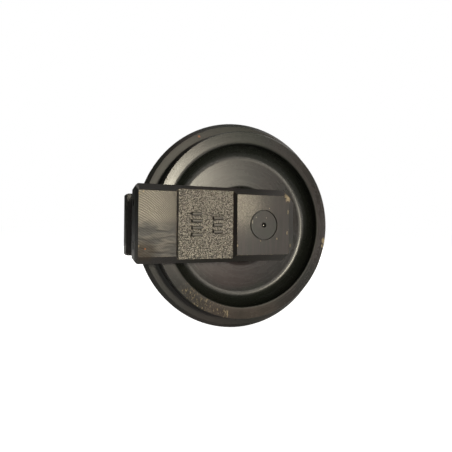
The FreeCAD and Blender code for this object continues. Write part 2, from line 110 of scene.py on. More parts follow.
def times(tree, first, *others):
    """The product of two or more masks or numbers."""
    for other in others:
        first = sums(tree, "MULTIPLY", first, other)
    return first


def line(tree, value, slope, start, clamp=False):
    """A straight line: slope times the value, plus start."""
    return sums(tree, "MULTIPLY_ADD", value, slope, start, clamp=clamp)


def around(tree, value, amount, middle):
    """The middle, and amount times how far a value from 0 to 1 is from a half."""
    return line(tree, sums(tree, "SUBTRACT", value, 0.5), amount, middle)


def smooth_step(tree, value, low, high):
    """0 below low, 1 above high, and a soft slope between them. With low above high it falls instead."""
    if low > high:
        return sums(tree, "SUBTRACT", 1.0, smooth_step(tree, value, high, low))
    made = put(tree, "ShaderNodeMapRange", {"Value": value, "From Min": low, "From Max": high},
               interpolation_type="SMOOTHSTEP")
    return made.outputs["Result"]


def band(tree, value, rise, fall):
    """1 between the two slopes, and 0 outside them. Each slope is a pair, the lower value first."""
    return times(tree, smooth_step(tree, value, *rise), smooth_step(tree, value, fall[1], fall[0]))


print("number helpers ready")

# %% Colour and place helpers
def mix_colour(tree, factor, first, second):
    """Goes from the first colour to the second as factor goes from 0 to 1."""
    made = put(tree, "ShaderNodeMix", data_type="RGBA", clamp_factor=True)
    for socket, value in ((made.inputs["Factor"], factor), (made.inputs[6], first), (made.inputs[7], second)):
        if isinstance(value, bpy.types.NodeSocket):
            tree.links.new(value, socket)
        else:
            socket.default_value = value
    return made.outputs[2]


def scaled(tree, vector, factors):
    """Multiplies a vector or a colour, each part by its own factor."""
    return put(tree, "ShaderNodeVectorMath", {0: vector, 1: factors}, operation="MULTIPLY").outputs[0]


def split(tree, vector):
    """The X, Y and Z parts of a vector."""
    return put(tree, "ShaderNodeSeparateXYZ", {0: vector}).outputs


def length(tree, vector):
    """How long a vector is."""
    return put(tree, "ShaderNodeVectorMath", {0: vector}, operation="LENGTH").outputs["Value"]


def distance(tree, vector, place):
    """How far a point is from a place."""
    return put(tree, "ShaderNodeVectorMath", {0: vector, 1: place}, operation="DISTANCE").outputs["Value"]


def from_axis(tree, vector):
    """How far a point is from the wheel's axis, which is the Y axis."""
    return length(tree, scaled(tree, vector, (1, 0, 1)))


def noise(tree, vector, scale, detail, roughness=0.5, distortion=0.0):
    """A noise from about 0.2 to 0.8, with a half as its middle."""
    made = put(tree, "ShaderNodeTexNoise", {"Vector": vector, "Scale": scale, "Detail": detail,
                                            "Roughness": roughness, "Distortion": distortion})
    return made.outputs["Fac"]


def stretched_noise(tree, vector, per_metre, detail, roughness, distortion):
    """A noise whose spots have their own size along each axis, given as spots to the metre."""
    return noise(tree, scaled(tree, vector, per_metre), 1.0, detail, roughness, distortion)


print("colour and place helpers ready")

# %% Group and material helpers
def start_group(name, takes, gives):
    """An empty node group with named sockets. takes has (name, kind, value) and gives has (name, kind)."""
    group = bpy.data.node_groups.new(name, "ShaderNodeTree")
    for title, kind, value in takes:
        socket = group.interface.new_socket(title, in_out="INPUT", socket_type="NodeSocket" + kind)
        if value is not None:
            socket.default_value = value
    for title, kind in gives:
        group.interface.new_socket(title, in_out="OUTPUT", socket_type="NodeSocket" + kind)
    return group, group.nodes.new("NodeGroupInput").outputs, group.nodes.new("NodeGroupOutput").inputs


def use_group(tree, group, **sockets):
    """Places a group with its sockets filled: Grain_size=0.002 fills the socket "Grain size"."""
    named = {name.replace("_", " "): value for name, value in sockets.items()}
    return put(tree, "ShaderNodeGroup", named, node_tree=group).outputs


def start_material(name):
    """An empty material: its tree, its Principled shader and the piece's own coordinates."""
    material = bpy.data.materials.new(name)
    material.use_nodes = True
    tree = material.node_tree
    shader = tree.nodes["Principled BSDF"]
    return material, tree, shader, tree.nodes.new("ShaderNodeTexCoord").outputs


def connect(tree, shader, **links):
    """Links outputs to the shader's sockets: Base_Color=socket fills "Base Color"."""
    for name, socket in links.items():
        tree.links.new(socket, shader.inputs[name.replace("_", " ")])


print("group and material helpers ready")

# %% [markdown]
# ## Paint tone
#
# Nothing sprayed in a workshop is one even colour. Charcoal paint dries a little browner where it is thin,
# and it picks up an oily, olive cast from handling and from what it is wiped with. Two noises do that: a
# slow one chooses between the brown and the olive cast in wide patches, and a finer one makes the value
# uneven.

# %% Group: paint tone
paint_tone, given, result = start_group(
    "Paint tone",
    [("Vector", "Vector", None), ("Paint", "Color", (0.0185, 0.0185, 0.0160, 1)),
     ("Brown cast", "Color", (0.027, 0.0215, 0.0190, 1)), ("Olive cast", "Color", (0.018, 0.022, 0.015, 1)),
     ("Patch size", "Float", 0.09), ("Unevenness", "Float", 0.25)],
    [("Color", "Color"), ("Value", "Float")])
per_patch = sums(paint_tone, "DIVIDE", 1.0, given["Patch size"])
patches = noise(paint_tone, given["Vector"], per_patch, 3.0, 0.55)
brown = smooth_step(paint_tone, patches, 0.46, 0.60)
olive = smooth_step(paint_tone, patches, 0.48, 0.34)
colour = mix_colour(paint_tone, brown, given["Paint"], given["Brown cast"])
colour = mix_colour(paint_tone, olive, colour, given["Olive cast"])
fine = noise(paint_tone, given["Vector"], times(paint_tone, per_patch, 6.0), 5.0, 0.6)
uneven = around(paint_tone, fine, given["Unevenness"], 1.0)
paint_tone.links.new(scaled(paint_tone, colour, uneven), result["Color"])
paint_tone.links.new(fine, result["Value"])
print("group:", paint_tone.name)

# %% [markdown]
# ## Turning rings
#
# The wheel's faces were cut on a lathe. The tool leaves one fine groove that winds round the axis, and the
# paint is thin enough to show it as rings. A ring pattern needs only the distance from the axis, so the
# noise here has one dimension and reads radius plus depth, which keeps the rings running on over edges and
# round the rim.

# %% Group: turning rings
turning_rings, given, result = start_group(
    "Turning rings",
    [("Vector", "Vector", None), ("Pitch", "Float", 0.0012), ("Waviness", "Float", 0.0004)],
    [("Height", "Float"), ("Shade", "Float")])


def noise_along(tree, position, roughness=0.5):
    """A noise along one line."""
    sockets = {"W": position, "Scale": 1.0, "Detail": 2.0, "Roughness": roughness}
    return put(tree, "ShaderNodeTexNoise", sockets, noise_dimensions="1D").outputs["Fac"]


depth = sums(turning_rings, "ABSOLUTE", split(turning_rings, given["Vector"])["Y"])
along = sums(turning_rings, "ADD", from_axis(turning_rings, given["Vector"]), depth)
sway = noise(turning_rings, given["Vector"], 9.0, 1.0)
along = around(turning_rings, sway, given["Waviness"], along)
step = sums(turning_rings, "DIVIDE", along, given["Pitch"])
turning_rings.links.new(noise_along(turning_rings, step, 0.7), result["Height"])
turning_rings.links.new(noise_along(turning_rings, times(turning_rings, step, 0.18)), result["Shade"])
print("group:", turning_rings.name)

# %% [markdown]
# ## Sand-cast grain
#
# The brackets were cast in sand and painted over the raw skin. The skin is a field of small round pimples,
# each as large as a few grains. Voronoi cells make the pimples, and a noise of nearly the same size breaks
# up their order. Speckle marks only the pimples' tops, where the paint runs off and stays thin; the brackets'
# material paints those tops lighter, partly as a painted highlight against painted shade in the hollows.

# %% Group: cast grain
cast_grain, given, result = start_group(
    "Cast grain",
    [("Vector", "Vector", None), ("Grain size", "Float", 0.0022)],
    [("Height", "Float"), ("Speckle", "Float")])
per_grain = sums(cast_grain, "DIVIDE", 1.0, given["Grain size"])
pimples = put(cast_grain, "ShaderNodeTexVoronoi", {"Vector": given["Vector"], "Scale": per_grain})
skin = noise(cast_grain, given["Vector"], times(cast_grain, per_grain, 0.5), 3.0, 0.7)
round_tops = sums(cast_grain, "SUBTRACT", 1.0, sums(cast_grain, "POWER", pimples.outputs["Distance"], 1.6))
height = line(cast_grain, skin, 0.8, round_tops)
cast_grain.links.new(height, result["Height"])
cast_grain.links.new(smooth_step(cast_grain, height, 0.85, 1.35), result["Speckle"])
print("group:", cast_grain.name)

# %% [markdown]
# ## Cutter arcs
#
# The bracket's guide pads were faced with one large fly cutter. Its tip sweeps the same wide arc again and
# again while the table feeds the bracket past it, so the marks are equal arcs set side by side, not rings
# about one centre. Subtracting the arc's own height from the position along the feed turns them into plain
# stripes.

# %% Group: cutter arcs
cutter_arcs, given, result = start_group(
    "Cutter arcs",
    [("Vector", "Vector", None), ("Sweep", "Float", 0.096), ("Centre X", "Float", -0.213),
     ("Pitch", "Float", 0.0031), ("Chatter", "Float", 0.0022)],
    [("Height", "Float")])
parts = split(cutter_arcs, given["Vector"])
aside = sums(cutter_arcs, "SUBTRACT", parts["X"], given["Centre X"])
sweep_squared = sums(cutter_arcs, "POWER", given["Sweep"], 2.0)
rise_squared = sums(cutter_arcs, "SUBTRACT", sweep_squared, sums(cutter_arcs, "POWER", aside, 2.0))
rise = sums(cutter_arcs, "SQRT", sums(cutter_arcs, "MAXIMUM", 0.0, rise_squared))
tremble = noise(cutter_arcs, given["Vector"], 70.0, 2.0)
feed = around(cutter_arcs, tremble, given["Chatter"], sums(cutter_arcs, "SUBTRACT", parts["Z"], rise))
turn_of_cutter = times(cutter_arcs, sums(cutter_arcs, "DIVIDE", feed, given["Pitch"]), 2 * math.pi)
stripes = line(cutter_arcs, sums(cutter_arcs, "SINE", turn_of_cutter), 0.5, 0.5)
cutter_arcs.links.new(stripes, result["Height"])
print("group:", cutter_arcs.name)

# %% [markdown]
# ## Knocks
#
# In handling, parts bang against each other, and the paint flakes off in spots where a corner was hit. A
# knock is at one place, so the group measures the distance to that place, makes it ragged with a noise, and
# adds the spot to the spots that came before it. A chain of these holds as many knocks as the part has.

# %% Group: knock
knock, given, result = start_group(
    "Knock",
    [("Vector", "Vector", None), ("Place", "Vector", None), ("Reach", "Float", 0.002), ("Tall", "Float", 1.0),
     ("So far", "Float", 0.0)],
    [("Mask", "Float")])
offset = put(knock, "ShaderNodeVectorMath", {0: given["Vector"], 1: given["Place"]}, operation="SUBTRACT")
per_height = sums(knock, "DIVIDE", 1.0, given["Tall"])
squeeze = put(knock, "ShaderNodeCombineXYZ", {"X": 1.0, "Y": 1.0, "Z": per_height})
away = length(knock, scaled(knock, offset.outputs[0], squeeze.outputs[0]))
away = sums(knock, "DIVIDE", away, given["Reach"])
away = around(knock, noise(knock, given["Vector"], 420.0, 3.0, 0.7), 2.6, away)
knock.links.new(sums(knock, "MAXIMUM", smooth_step(knock, away, 1.05, 0.75), given["So far"]), result["Mask"])
print("group:", knock.name)


def chain_of_knocks(tree, vector, places):
    """One Knock after another. places has (x, y, z, reach, tall) in metres, and tall as a ratio."""
    mask = 0.0
    for x, y, z, reach, tall in places:
        spot = use_group(tree, knock, Vector=vector, Place=(x, y, z), Reach=reach, Tall=tall, So_far=mask)
        mask = spot["Mask"]
    return mask


# %% [markdown]
# ## Scuffs
#
# Where the part was dragged, the paint has many short light scratches, close together, that run one way. A
# noise stretched along that way gives them, and only its highest tops count, so they come out short and
# separate.

# %% Group: scuffs
scuffs, given, result = start_group(
    "Scuffs",
    [("Vector", "Vector", None), ("Where", "Float", 0.0), ("Amount", "Float", 0.5),
     ("Stretch", "Vector", (500.0, 500.0, 90.0))],
    [("Mask", "Float")])
fibres = stretched_noise(scuffs, given["Vector"], given["Stretch"], 3.0, 0.65, 0.6)
level = line(scuffs, given["Amount"], -0.22, 0.78)
fibre_tops = sums(scuffs, "MULTIPLY", sums(scuffs, "SUBTRACT", fibres, level), 18.0, clamp=True)
scuffs.links.new(times(scuffs, fibre_tops, given["Where"]), result["Mask"])
print("group:", scuffs.name)

# %% [markdown]
# ## Worn edges
#
# Paint pulls thin over a sharp edge and is the first to rub through there. Cycles' Bevel node gives the
# normal that the surface would have if its edges were rounded. Where that differs from the real normal,
# there is an edge. It works on a CAD mesh too, whose triangles aren't joined. A noise keeps the wear from
# following every edge evenly.

# %% Group: worn edges
worn_edges, given, result = start_group(
    "Worn edges",
    [("Vector", "Vector", None), ("Width", "Float", 0.0012), ("Amount", "Float", 0.4),
     ("Patch size", "Float", 0.012)],
    [("Mask", "Float")])
rounded = put(worn_edges, "ShaderNodeBevel", {"Radius": given["Width"]}, samples=4).outputs[0]
straight = worn_edges.nodes.new("ShaderNodeNewGeometry").outputs["Normal"]
alike = put(worn_edges, "ShaderNodeVectorMath", {0: rounded, 1: straight}, operation="DOT_PRODUCT")
unlike = sums(worn_edges, "SUBTRACT", 1.0, alike.outputs["Value"])
edge = sums(worn_edges, "MULTIPLY", unlike, 9.0, clamp=True)
per_patch = sums(worn_edges, "DIVIDE", 1.0, given["Patch size"])
here_and_there = noise(worn_edges, given["Vector"], per_patch, 6.0, 0.75)
level = line(worn_edges, given["Amount"], -0.35, 0.72)
rubbed = sums(worn_edges, "MULTIPLY", sums(worn_edges, "SUBTRACT", here_and_there, level), 12.0, clamp=True)
worn_edges.links.new(times(worn_edges, edge, rubbed), result["Mask"])
print("group:", worn_edges.name)

# %% [markdown]
# ## The wheel's paint
#
# The wheel is turned all over and sprayed in satin charcoal. The paint itself is nearly black, and almost
# all that the eye sees of it is the lamp's soft reflection, so roughness matters more here than colour. The
# dish's wall is painted darker and greener, as painted shade in the recess. The lower half of the rim and
# the lower left of the web get a lighter warm tone, partly dust and partly painted fill light. The places are
# told apart by the distance from the axis and the depth along it, so no extra pieces are needed.

# %% The wheel's places
wheel_low, wheel_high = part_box("idler_wheel")
hub_proud = 0.002                       # the hub's ends stand this far out past the rim's sides
rim_face = wheel_low.y + hub_proud      # the near side of the rim
tread_radius, flange_half_width = 0.1450, 0.018
web_end = (0.094, 0.104)                # radii where the flat web ends
web_curve = (0.104, 0.111)              # radii where it has bent into the dish's wall
wall_end = (0.1262, 0.1272)             # radii where that wall ends
mouth_rise, mouth_fall = (0.1250, 0.1258), (0.1288, 0.1300)
dust_and_fill_colour, web_dust_and_fill_colour = (0.110, 0.085, 0.070, 1), (0.078, 0.050, 0.048, 1)
dish_wall_shade_colour, primer_colour = (0.0150, 0.0178, 0.0135, 1), (0.40, 0.32, 0.20, 1)
nick_colour, rust_colour = (0.006, 0.006, 0.005, 1), (0.30, 0.085, 0.015, 1)
print("rim side at", round(rim_face, 4), "flange radius", round(wheel_high.x, 4))

# %% Material: turned paint, its colour
turned_paint, tree, shader, own = start_material("Turned charcoal paint")
place = own["Object"]
parts = split(tree, place)
depth = sums(tree, "ABSOLUTE", parts["Y"])
radius = from_axis(tree, place)
on_rim_face = smooth_step(tree, depth, -rim_face - 0.0010, -rim_face)
tone = use_group(tree, paint_tone, Vector=place, Patch_size=0.11, Unevenness=0.35)
rings = use_group(tree, turning_rings, Vector=place, Pitch=0.0011, Waviness=0.0003)
paint = scaled(tree, tone["Color"], around(tree, rings["Shade"], 0.5, 1.0))

# A lighter warm tone on the lower rim: partly dust, partly painted fill light.
to_low_rim = distance(tree, place, (-0.020, rim_face, -0.150))
patchy = line(tree, tone["Value"], 0.8, 0.3)
dust_and_fill = times(tree, smooth_step(tree, to_low_rim, 0.120, 0.030), on_rim_face, patchy)
paint = mix_colour(tree, times(tree, dust_and_fill, 0.9), paint, dust_and_fill_colour)
# Painted shade in the dish: its wall is made darker and greener.
dish_wall_shade = band(tree, radius, web_curve, wall_end)
paint = mix_colour(tree, times(tree, dish_wall_shade, 0.85), paint, dish_wall_shade_colour)
# A lighter purplish tone on the lower left of the web: partly dust, partly painted fill light.
below = smooth_step(tree, parts["Z"], 0.000, -0.080)
to_the_left = smooth_step(tree, parts["X"], 0.070, -0.010)
low_web_dust_and_fill = times(tree, smooth_step(tree, radius, web_end[1], web_end[0]), below, to_the_left)
paint = mix_colour(tree, times(tree, low_web_dust_and_fill, 0.46), paint, web_dust_and_fill_colour)
print("wheel colour ready, dish wall from", web_curve[0], "to", wall_end[1])

# %% Material: turned paint, its knocks and scuffs
primer_spots = chain_of_knocks(tree, place, [
    (0.139, rim_face, -0.0250, 0.0030, 1.8), (0.1365, rim_face, -0.0330, 0.0018, 1.5),
    (-0.1170, rim_face, 0.0790, 0.0008, 1.0), (-0.1265, rim_face, 0.0640, 0.0009, 1.0),
    (0.0907, rim_face, 0.0868, 0.0009, 1.0), (-0.0335, rim_face, -0.1335, 0.0012, 4.5),
    (-0.0585, -0.010, -0.1425, 0.0014, 1.0), (0.060, -rim_face, 0.118, 0.0020, 1.0),
    (-0.128, -rim_face, -0.035, 0.0016, 1.4)])
scuffed = 0.0
for x, z, reach in ((-0.094, -0.100, 0.019), (-0.072, -0.118, 0.022), (-0.046, -0.1285, 0.019)):
    near_it = smooth_step(tree, distance(tree, place, (x, rim_face, z)), reach, reach * 0.4)
    scuffed = sums(tree, "MAXIMUM", near_it, scuffed)
dragged = use_group(tree, scuffs, Vector=place, Where=times(tree, scuffed, on_rim_face), Amount=0.95,
                    Stretch=(520.0, 500.0, 240.0))
edges = use_group(tree, worn_edges, Vector=place, Width=0.0010, Amount=0.02, Patch_size=0.02)
bare = sums(tree, "MAXIMUM", primer_spots, edges["Mask"])
bare = sums(tree, "MAXIMUM", bare, times(tree, dragged["Mask"], 0.95))
paint = mix_colour(tree, bare, paint, primer_colour)
nicks = chain_of_knocks(tree, place, [
    (-0.1130, rim_face, 0.0880, 0.0012, 2.6), (-0.1075, rim_face, 0.0850, 0.0009, 1.0)])
paint = mix_colour(tree, nicks, paint, nick_colour)
rust = chain_of_knocks(tree, place, [
    (-0.0715, -0.0084, 0.1372, 0.0022, 1.0), (0.101, 0.006, -0.112, 0.0014, 1.0)])
paint = mix_colour(tree, rust, paint, rust_colour)
print("wheel knocks and scuffs ready")

# %% [markdown]
# ### The wheel's shine
#
# Turned grooves spread a reflection across themselves, so a little anisotropy stretches it across the
# rings. The flange was only rough turned, and the rounded mouth of the dish has been rubbed dull, so both
# are rougher.

# %% Material: turned paint, its shine
on_flange = times(tree, smooth_step(tree, radius, tread_radius - 0.0010, tread_radius + 0.0005),
                  smooth_step(tree, depth, flange_half_width + 0.002, flange_half_width - 0.002))
mouth = band(tree, radius, mouth_rise, mouth_fall)
rough = line(tree, tone["Value"], 0.10, 0.222)
rough = around(tree, rings["Shade"], 0.065, rough)
for where, rougher in ((on_flange, 0.16), (mouth, 0.22), (bare, 0.3)):
    rough = line(tree, where, rougher, rough)


def grooves_and_flakes(tree, height, depth_of_height, flaked, strength):
    """Bump from a pattern, and on top of it the small step down where the paint has flaked off."""
    pattern = {"Strength": strength, "Distance": depth_of_height, "Height": height}
    pattern = put(tree, "ShaderNodeBump", pattern).outputs[0]
    flakes = {"Strength": 0.8, "Distance": 0.0002, "Height": flaked, "Normal": pattern}
    return put(tree, "ShaderNodeBump", flakes, invert=True).outputs[0]


normal = grooves_and_flakes(tree, rings["Height"], 0.00004, bare, 0.5)
connect(tree, shader, Base_Color=paint, Roughness=rough, Normal=normal)
shader.inputs["Anisotropic"].default_value = 0.35
round_the_axis = put(tree, "ShaderNodeTangent", direction_type="RADIAL", axis="Y")
tree.links.new(round_the_axis.outputs[0], shader.inputs["Tangent"])
print("material:", turned_paint.name)

# %% [markdown]
# ## The joint round the shaft
#
# The shaft's end lies flush in the bracket's bore. The construction relieves the last two millimetres of
# the shaft, so a narrow groove runs round it, and that groove is all that shows of the fit. This group marks
# the groove for a near-black colour, partly grease and partly painted shade: 1 across the groove and 0
# elsewhere.

# %% Group: joint line
shaft_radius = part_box("shaft")[1].x
joint, given, result = start_group(
    "Joint line",
    [("Vector", "Vector", None), ("Radius", "Float", shaft_radius - 0.0006), ("Half width", "Float", 0.0009)],
    [("Mask", "Float")])
off_line = sums(joint, "SUBTRACT", from_axis(joint, given["Vector"]), given["Radius"])
share = sums(joint, "DIVIDE", sums(joint, "ABSOLUTE", off_line), given["Half width"])
joint.links.new(smooth_step(joint, share, 1.3, 0.7), result["Mask"])
# Near black, for grease in the groove and painted shade.
grease_and_shade_colour = (0.004, 0.004, 0.004, 1)
print("group:", joint.name, "at radius", round(shaft_radius, 4))

# %% [markdown]
# ## The brackets' paint
#
# One bracket has three finishes under the same paint. The two guide pads are machined, the face between
# them is the raw casting at its coarsest, and the sides are a finer cast skin. The pads are known by their
# height along the axis and by facing straight along it, so the material itself can tell them apart and
# needs no extra pieces.

# %% The brackets' places
pad_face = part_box("near_bracket")[0].y
middle_face = 0.0840                    # the raw face between the pads, this far from the wheel's middle
cast_paint, tree, shader, own = start_material("Cast charcoal paint")
place = own["Object"]
parts = split(tree, place)
outward = sums(tree, "ABSOLUTE", parts["Y"])
flat_on = smooth_step(tree, sums(tree, "ABSOLUTE", split(tree, own["Normal"])["Y"]), 0.97, 0.995)
machined = times(tree, smooth_step(tree, outward, -pad_face - 0.0006, -pad_face - 0.0003), flat_on)
tail_pad = times(tree, machined, smooth_step(tree, parts["X"], -0.100, -0.110))
front_pad = sums(tree, "SUBTRACT", machined, tail_pad)
above_middle = sums(tree, "SUBTRACT", outward, middle_face)
coarse = times(tree, band(tree, above_middle, (-0.0010, -0.0005), (0.0003, 0.0007)), flat_on)
raised = times(tree, band(tree, above_middle, (0.0012, 0.0017), (0.0040, 0.0044)), flat_on)
thin_and_highlight_colour, wiped_colour = (0.26, 0.24, 0.205, 1), (0.046, 0.031, 0.031, 1)
stain_colour, primer_colour = (0.060, 0.036, 0.012, 1), (0.42, 0.34, 0.22, 1)
rust_colour = (0.34, 0.10, 0.015, 1)
print("bracket areas ready, pad face at", round(pad_face, 4))

# %% [markdown]
# ### What the brackets' paint lies on
#
# The relief adds up what each area has: pimples on the raw face and, weaker, on the sides, cutter arcs on
# the upper half of the tail pad, and soft ripples on its lower half, where the cutter chattered. The front
# pad was only cleaned up, so some of the casting's pits are left in it round one place, the same place
# where a painted highlight is added further on.

# %% Material: cast paint, its relief
tone = use_group(tree, paint_tone, Vector=place, Patch_size=0.06, Unevenness=0.4,
                 Paint=(0.021, 0.0185, 0.0162, 1), Olive_cast=(0.020, 0.0195, 0.0155, 1))
grain = use_group(tree, cast_grain, Vector=place, Grain_size=0.0016)
arcs = use_group(tree, cutter_arcs, Vector=place)
ripples = stretched_noise(tree, place, (60.0, 60.0, 165.0), 1.5, 0.45, 0.4)
brushed = stretched_noise(tree, place, (260.0, 260.0, 16.0), 3.0, 0.6, 0.3)
lower_half = smooth_step(tree, parts["Z"], 0.012, -0.006)
arc_share = times(tree, tail_pad, sums(tree, "SUBTRACT", 1.0, times(tree, lower_half, 0.75)))
ripple_share = times(tree, tail_pad, lower_half)
# The front pad's pits, round the same place where a painted highlight is added.
to_pits_and_highlight = distance(tree, place, (-0.036, pad_face, 0.030))
pits_and_highlight = times(tree, front_pad, smooth_step(tree, to_pits_and_highlight, 0.062, 0.010))
skin_share = 0.25
for where, more in ((machined, -0.22), (coarse, 0.62), (pits_and_highlight, 0.26)):
    skin_share = line(tree, where, more, skin_share)
relief = times(tree, grain["Height"], skin_share)
relief = line(tree, arcs["Height"], times(tree, arc_share, 0.38), relief)
relief = line(tree, ripples, times(tree, ripple_share, 1.3), relief)
print("bracket relief ready")

# %% [markdown]
# ### Where the brackets' paint is thin
# Paint runs off every top and leaves the steel shining through a thin film. So the tops of the pimples, of
# the arcs and of the ripples become part metal and beige, in proportion, and the hollows keep the dark paint,
# which also serves as painted shade in the pits. Their metal makes a cast face glitter under one lamp. The
# beige is partly a painted highlight too: on the tail pad only the upper half gets it on the arcs, where the
# lamp's reflection lies, and the front pad gets it round one bright spot. The strokes' backs stand proud, so
# they are thin all over. The front pad was wiped with a rag as well, which left upright streaks of a dusty
# red tone away from that bright spot.

# %% Material: cast paint, its thin places
upper_half = sums(tree, "SUBTRACT", 1.0, lower_half)
# Painted highlight: the lighter thin paint goes on the arcs only in the tail pad's upper half.
arc_tops_and_highlight = times(tree, tail_pad, upper_half, line(tree, arcs["Height"], 0.50, 0.65))
ripple_tops = times(tree, ripple_share, smooth_step(tree, ripples, 0.38, 0.66))
# Lighter pimple tops against dark hollows: thin paint, and painted shade in the pits.
grain_tops = line(tree, grain["Speckle"], 1.50, 0.10)
# Painted highlight: the front pad gets lighter thin paint round one bright spot.
thin_and_highlight = times(tree, line(tree, grain_tops, 0.35, 0.45), pits_and_highlight)
thin_and_highlight = line(tree, coarse, grain_tops, thin_and_highlight)
thin_and_highlight = sums(tree, "ADD", arc_tops_and_highlight, thin_and_highlight)
thin_and_highlight = line(tree, ripple_tops, 0.40, thin_and_highlight)
thin_and_highlight = line(tree, raised, 0.28, thin_and_highlight)
# Beige mixed in: thin paint, and in places a painted highlight.
paint = mix_colour(tree, times(tree, thin_and_highlight, 0.7), tone["Color"], thin_and_highlight_colour)
streaks = smooth_step(tree, brushed, 0.40, 0.66)
wiped = times(tree, streaks, smooth_step(tree, to_pits_and_highlight, 0.016, 0.060), front_pad)
paint = mix_colour(tree, times(tree, wiped, 0.6), paint, wiped_colour)
to_stain = distance(tree, place, (-0.1650, pad_face, -0.0350))
patchy = line(tree, tone["Value"], 1.2, 0.1, clamp=True)
stain = times(tree, smooth_step(tree, to_stain, 0.020, 0.004), patchy)
paint = mix_colour(tree, times(tree, stain, 0.8), paint, stain_colour)
print("bracket colour ready")

# %% Material: cast paint, its knocks and shine
edges = use_group(tree, worn_edges, Vector=place, Width=0.0009, Amount=0.62, Patch_size=0.005)
primer_spots = chain_of_knocks(tree, place, [
    (0.0392, -0.0880, 0.0405, 0.0062, 1.1), (-0.0398, pad_face, -0.0278, 0.0009, 2.2),
    (-0.0053, pad_face, -0.0222, 0.0009, 1.0), (0.0208, pad_face, -0.0196, 0.0010, 1.7),
    (0.0385, pad_face, 0.0193, 0.0006, 5.0), (0.0371, pad_face, -0.0110, 0.0008, 3.0),
    (0.0452, -0.086, -0.0298, 0.0016, 2.0), (0.0085, pad_face, 0.0235, 0.0006, 1.0),
    (0.0038, pad_face, 0.0100, 0.0006, 1.0), (-0.1663, pad_face, 0.0398, 0.0010, 1.0),
    (-0.1712, pad_face, 0.0375, 0.0010, 1.4), (-0.1713, pad_face, -0.0280, 0.0008, 2.0),
    (-0.1357, -0.0835, -0.0430, 0.0012, 1.4), (0.0300, -pad_face, 0.0400, 0.0024, 1.0),
    (-0.150, -pad_face, -0.0370, 0.0018, 1.2)])
bare = sums(tree, "MAXIMUM", primer_spots, edges["Mask"])
rust = chain_of_knocks(tree, place, [
    (-0.1638, pad_face, -0.0314, 0.0010, 1.0), (-0.1661, -pad_face - 0.006, -0.0309, 0.0012, 1.0),
    (-0.120, -pad_face, 0.022, 0.0014, 1.0)])
# The groove round the shaft: grease, and painted shade.
grease_and_shade = use_group(tree, joint, Vector=place)["Mask"]
for where, colour in ((bare, primer_colour), (rust, rust_colour), (grease_and_shade, grease_and_shade_colour)):
    paint = mix_colour(tree, where, paint, colour)
rough = line(tree, tone["Value"], 0.12, 0.30)
for where, rougher in ((coarse, -0.06), (bare, 0.3), (stain, 0.15), (ripple_share, 0.05), (wiped, 0.015)):
    rough = line(tree, where, rougher, rough)
rough = sums(tree, "MAXIMUM", rough, grease_and_shade)
normal = grooves_and_flakes(tree, relief, 0.00060, bare, 1.0)
connect(tree, shader, Base_Color=paint, Metallic=times(tree, thin_and_highlight, 0.74), Roughness=rough, Normal=normal)
print("material:", cast_paint.name)

# %% [markdown]
# ## The shaft
#
# The shaft is ground steel, and only its two ends show. They were sprayed together with the brackets after
# assembly, so the paint belongs to the last three or four millimetres, and the steel to all the rest.

# %% Material: ground steel with painted ends
ground_steel, tree, shader, own = start_material("Ground steel, painted ends")
place = own["Object"]
outward = sums(tree, "ABSOLUTE", split(tree, place)["Y"])
painted = smooth_step(tree, outward, -pad_face - 0.004, -pad_face - 0.003)
tone = use_group(tree, paint_tone, Vector=place, Patch_size=0.03, Unevenness=0.5)
rings = use_group(tree, turning_rings, Vector=place, Pitch=0.0007, Waviness=0.0001)
flecks = use_group(tree, cast_grain, Vector=place, Grain_size=0.0026)
dark_steel, light_steel, rubbed_colour = (0.28, 0.27, 0.26, 1), (0.42, 0.41, 0.40, 1), (0.22, 0.20, 0.15, 1)
steel = mix_colour(tree, rings["Shade"], dark_steel, light_steel)
bare = chain_of_knocks(tree, place, [
    (-0.0180, pad_face, 0.0045, 0.0014, 2.0), (-0.0120, pad_face, 0.0105, 0.0010, 1.0),
    (0.0038, pad_face, 0.0100, 0.0008, 1.0)])
paint = mix_colour(tree, bare, tone["Color"], rubbed_colour)
# The same groove on the shaft's end: grease, and painted shade.
paint = mix_colour(tree, use_group(tree, joint, Vector=place)["Mask"], paint, grease_and_shade_colour)
relief = sums(tree, "ADD", rings["Height"], times(tree, flecks["Height"], painted))
bump = put(tree, "ShaderNodeBump", {"Strength": 0.5, "Distance": 0.00006, "Height": relief})
rough = line(tree, painted, 0.06, line(tree, tone["Value"], 0.12, 0.24))
connect(tree, shader, Base_Color=mix_colour(tree, painted, steel, paint), Roughness=rough,
        Metallic=sums(tree, "SUBTRACT", 1.0, painted), Normal=bump.outputs[0])
print("material:", ground_steel.name)

# %% [markdown]
# ## The pieces inside
#
# Bushes, seals, pins and the oil plug hardly show, but the part is looked at from all sides and may be
# taken apart, so each has its own finish. Most of them are turned, so they share the turning rings and
# differ in colour, in metal and in how far apart the rings are. The rubber is moulded instead, and has a
# fine matt skin.

# %% Materials for the inner pieces
def turned_metal(name, dark, light, roughness, pitch):
    """A bare metal with turning rings: its colour runs from dark to light over the rings' bands."""
    material, tree, shader, own = start_material(name)
    rings = use_group(tree, turning_rings, Vector=own["Object"], Pitch=pitch, Waviness=0.0001)
    film = noise(tree, own["Object"], 160.0, 4.0)
    colour = mix_colour(tree, rings["Shade"], dark, light)
    colour = mix_colour(tree, smooth_step(tree, film, 0.5, 0.75), colour, dark)
    bump = put(tree, "ShaderNodeBump", {"Strength": 0.5, "Distance": 0.00004, "Height": rings["Height"]})
    shader.inputs["Metallic"].default_value = 1.0
    rough = line(tree, film, 0.25, roughness - 0.12)
    connect(tree, shader, Base_Color=colour, Roughness=rough, Normal=bump.outputs[0])
    return material


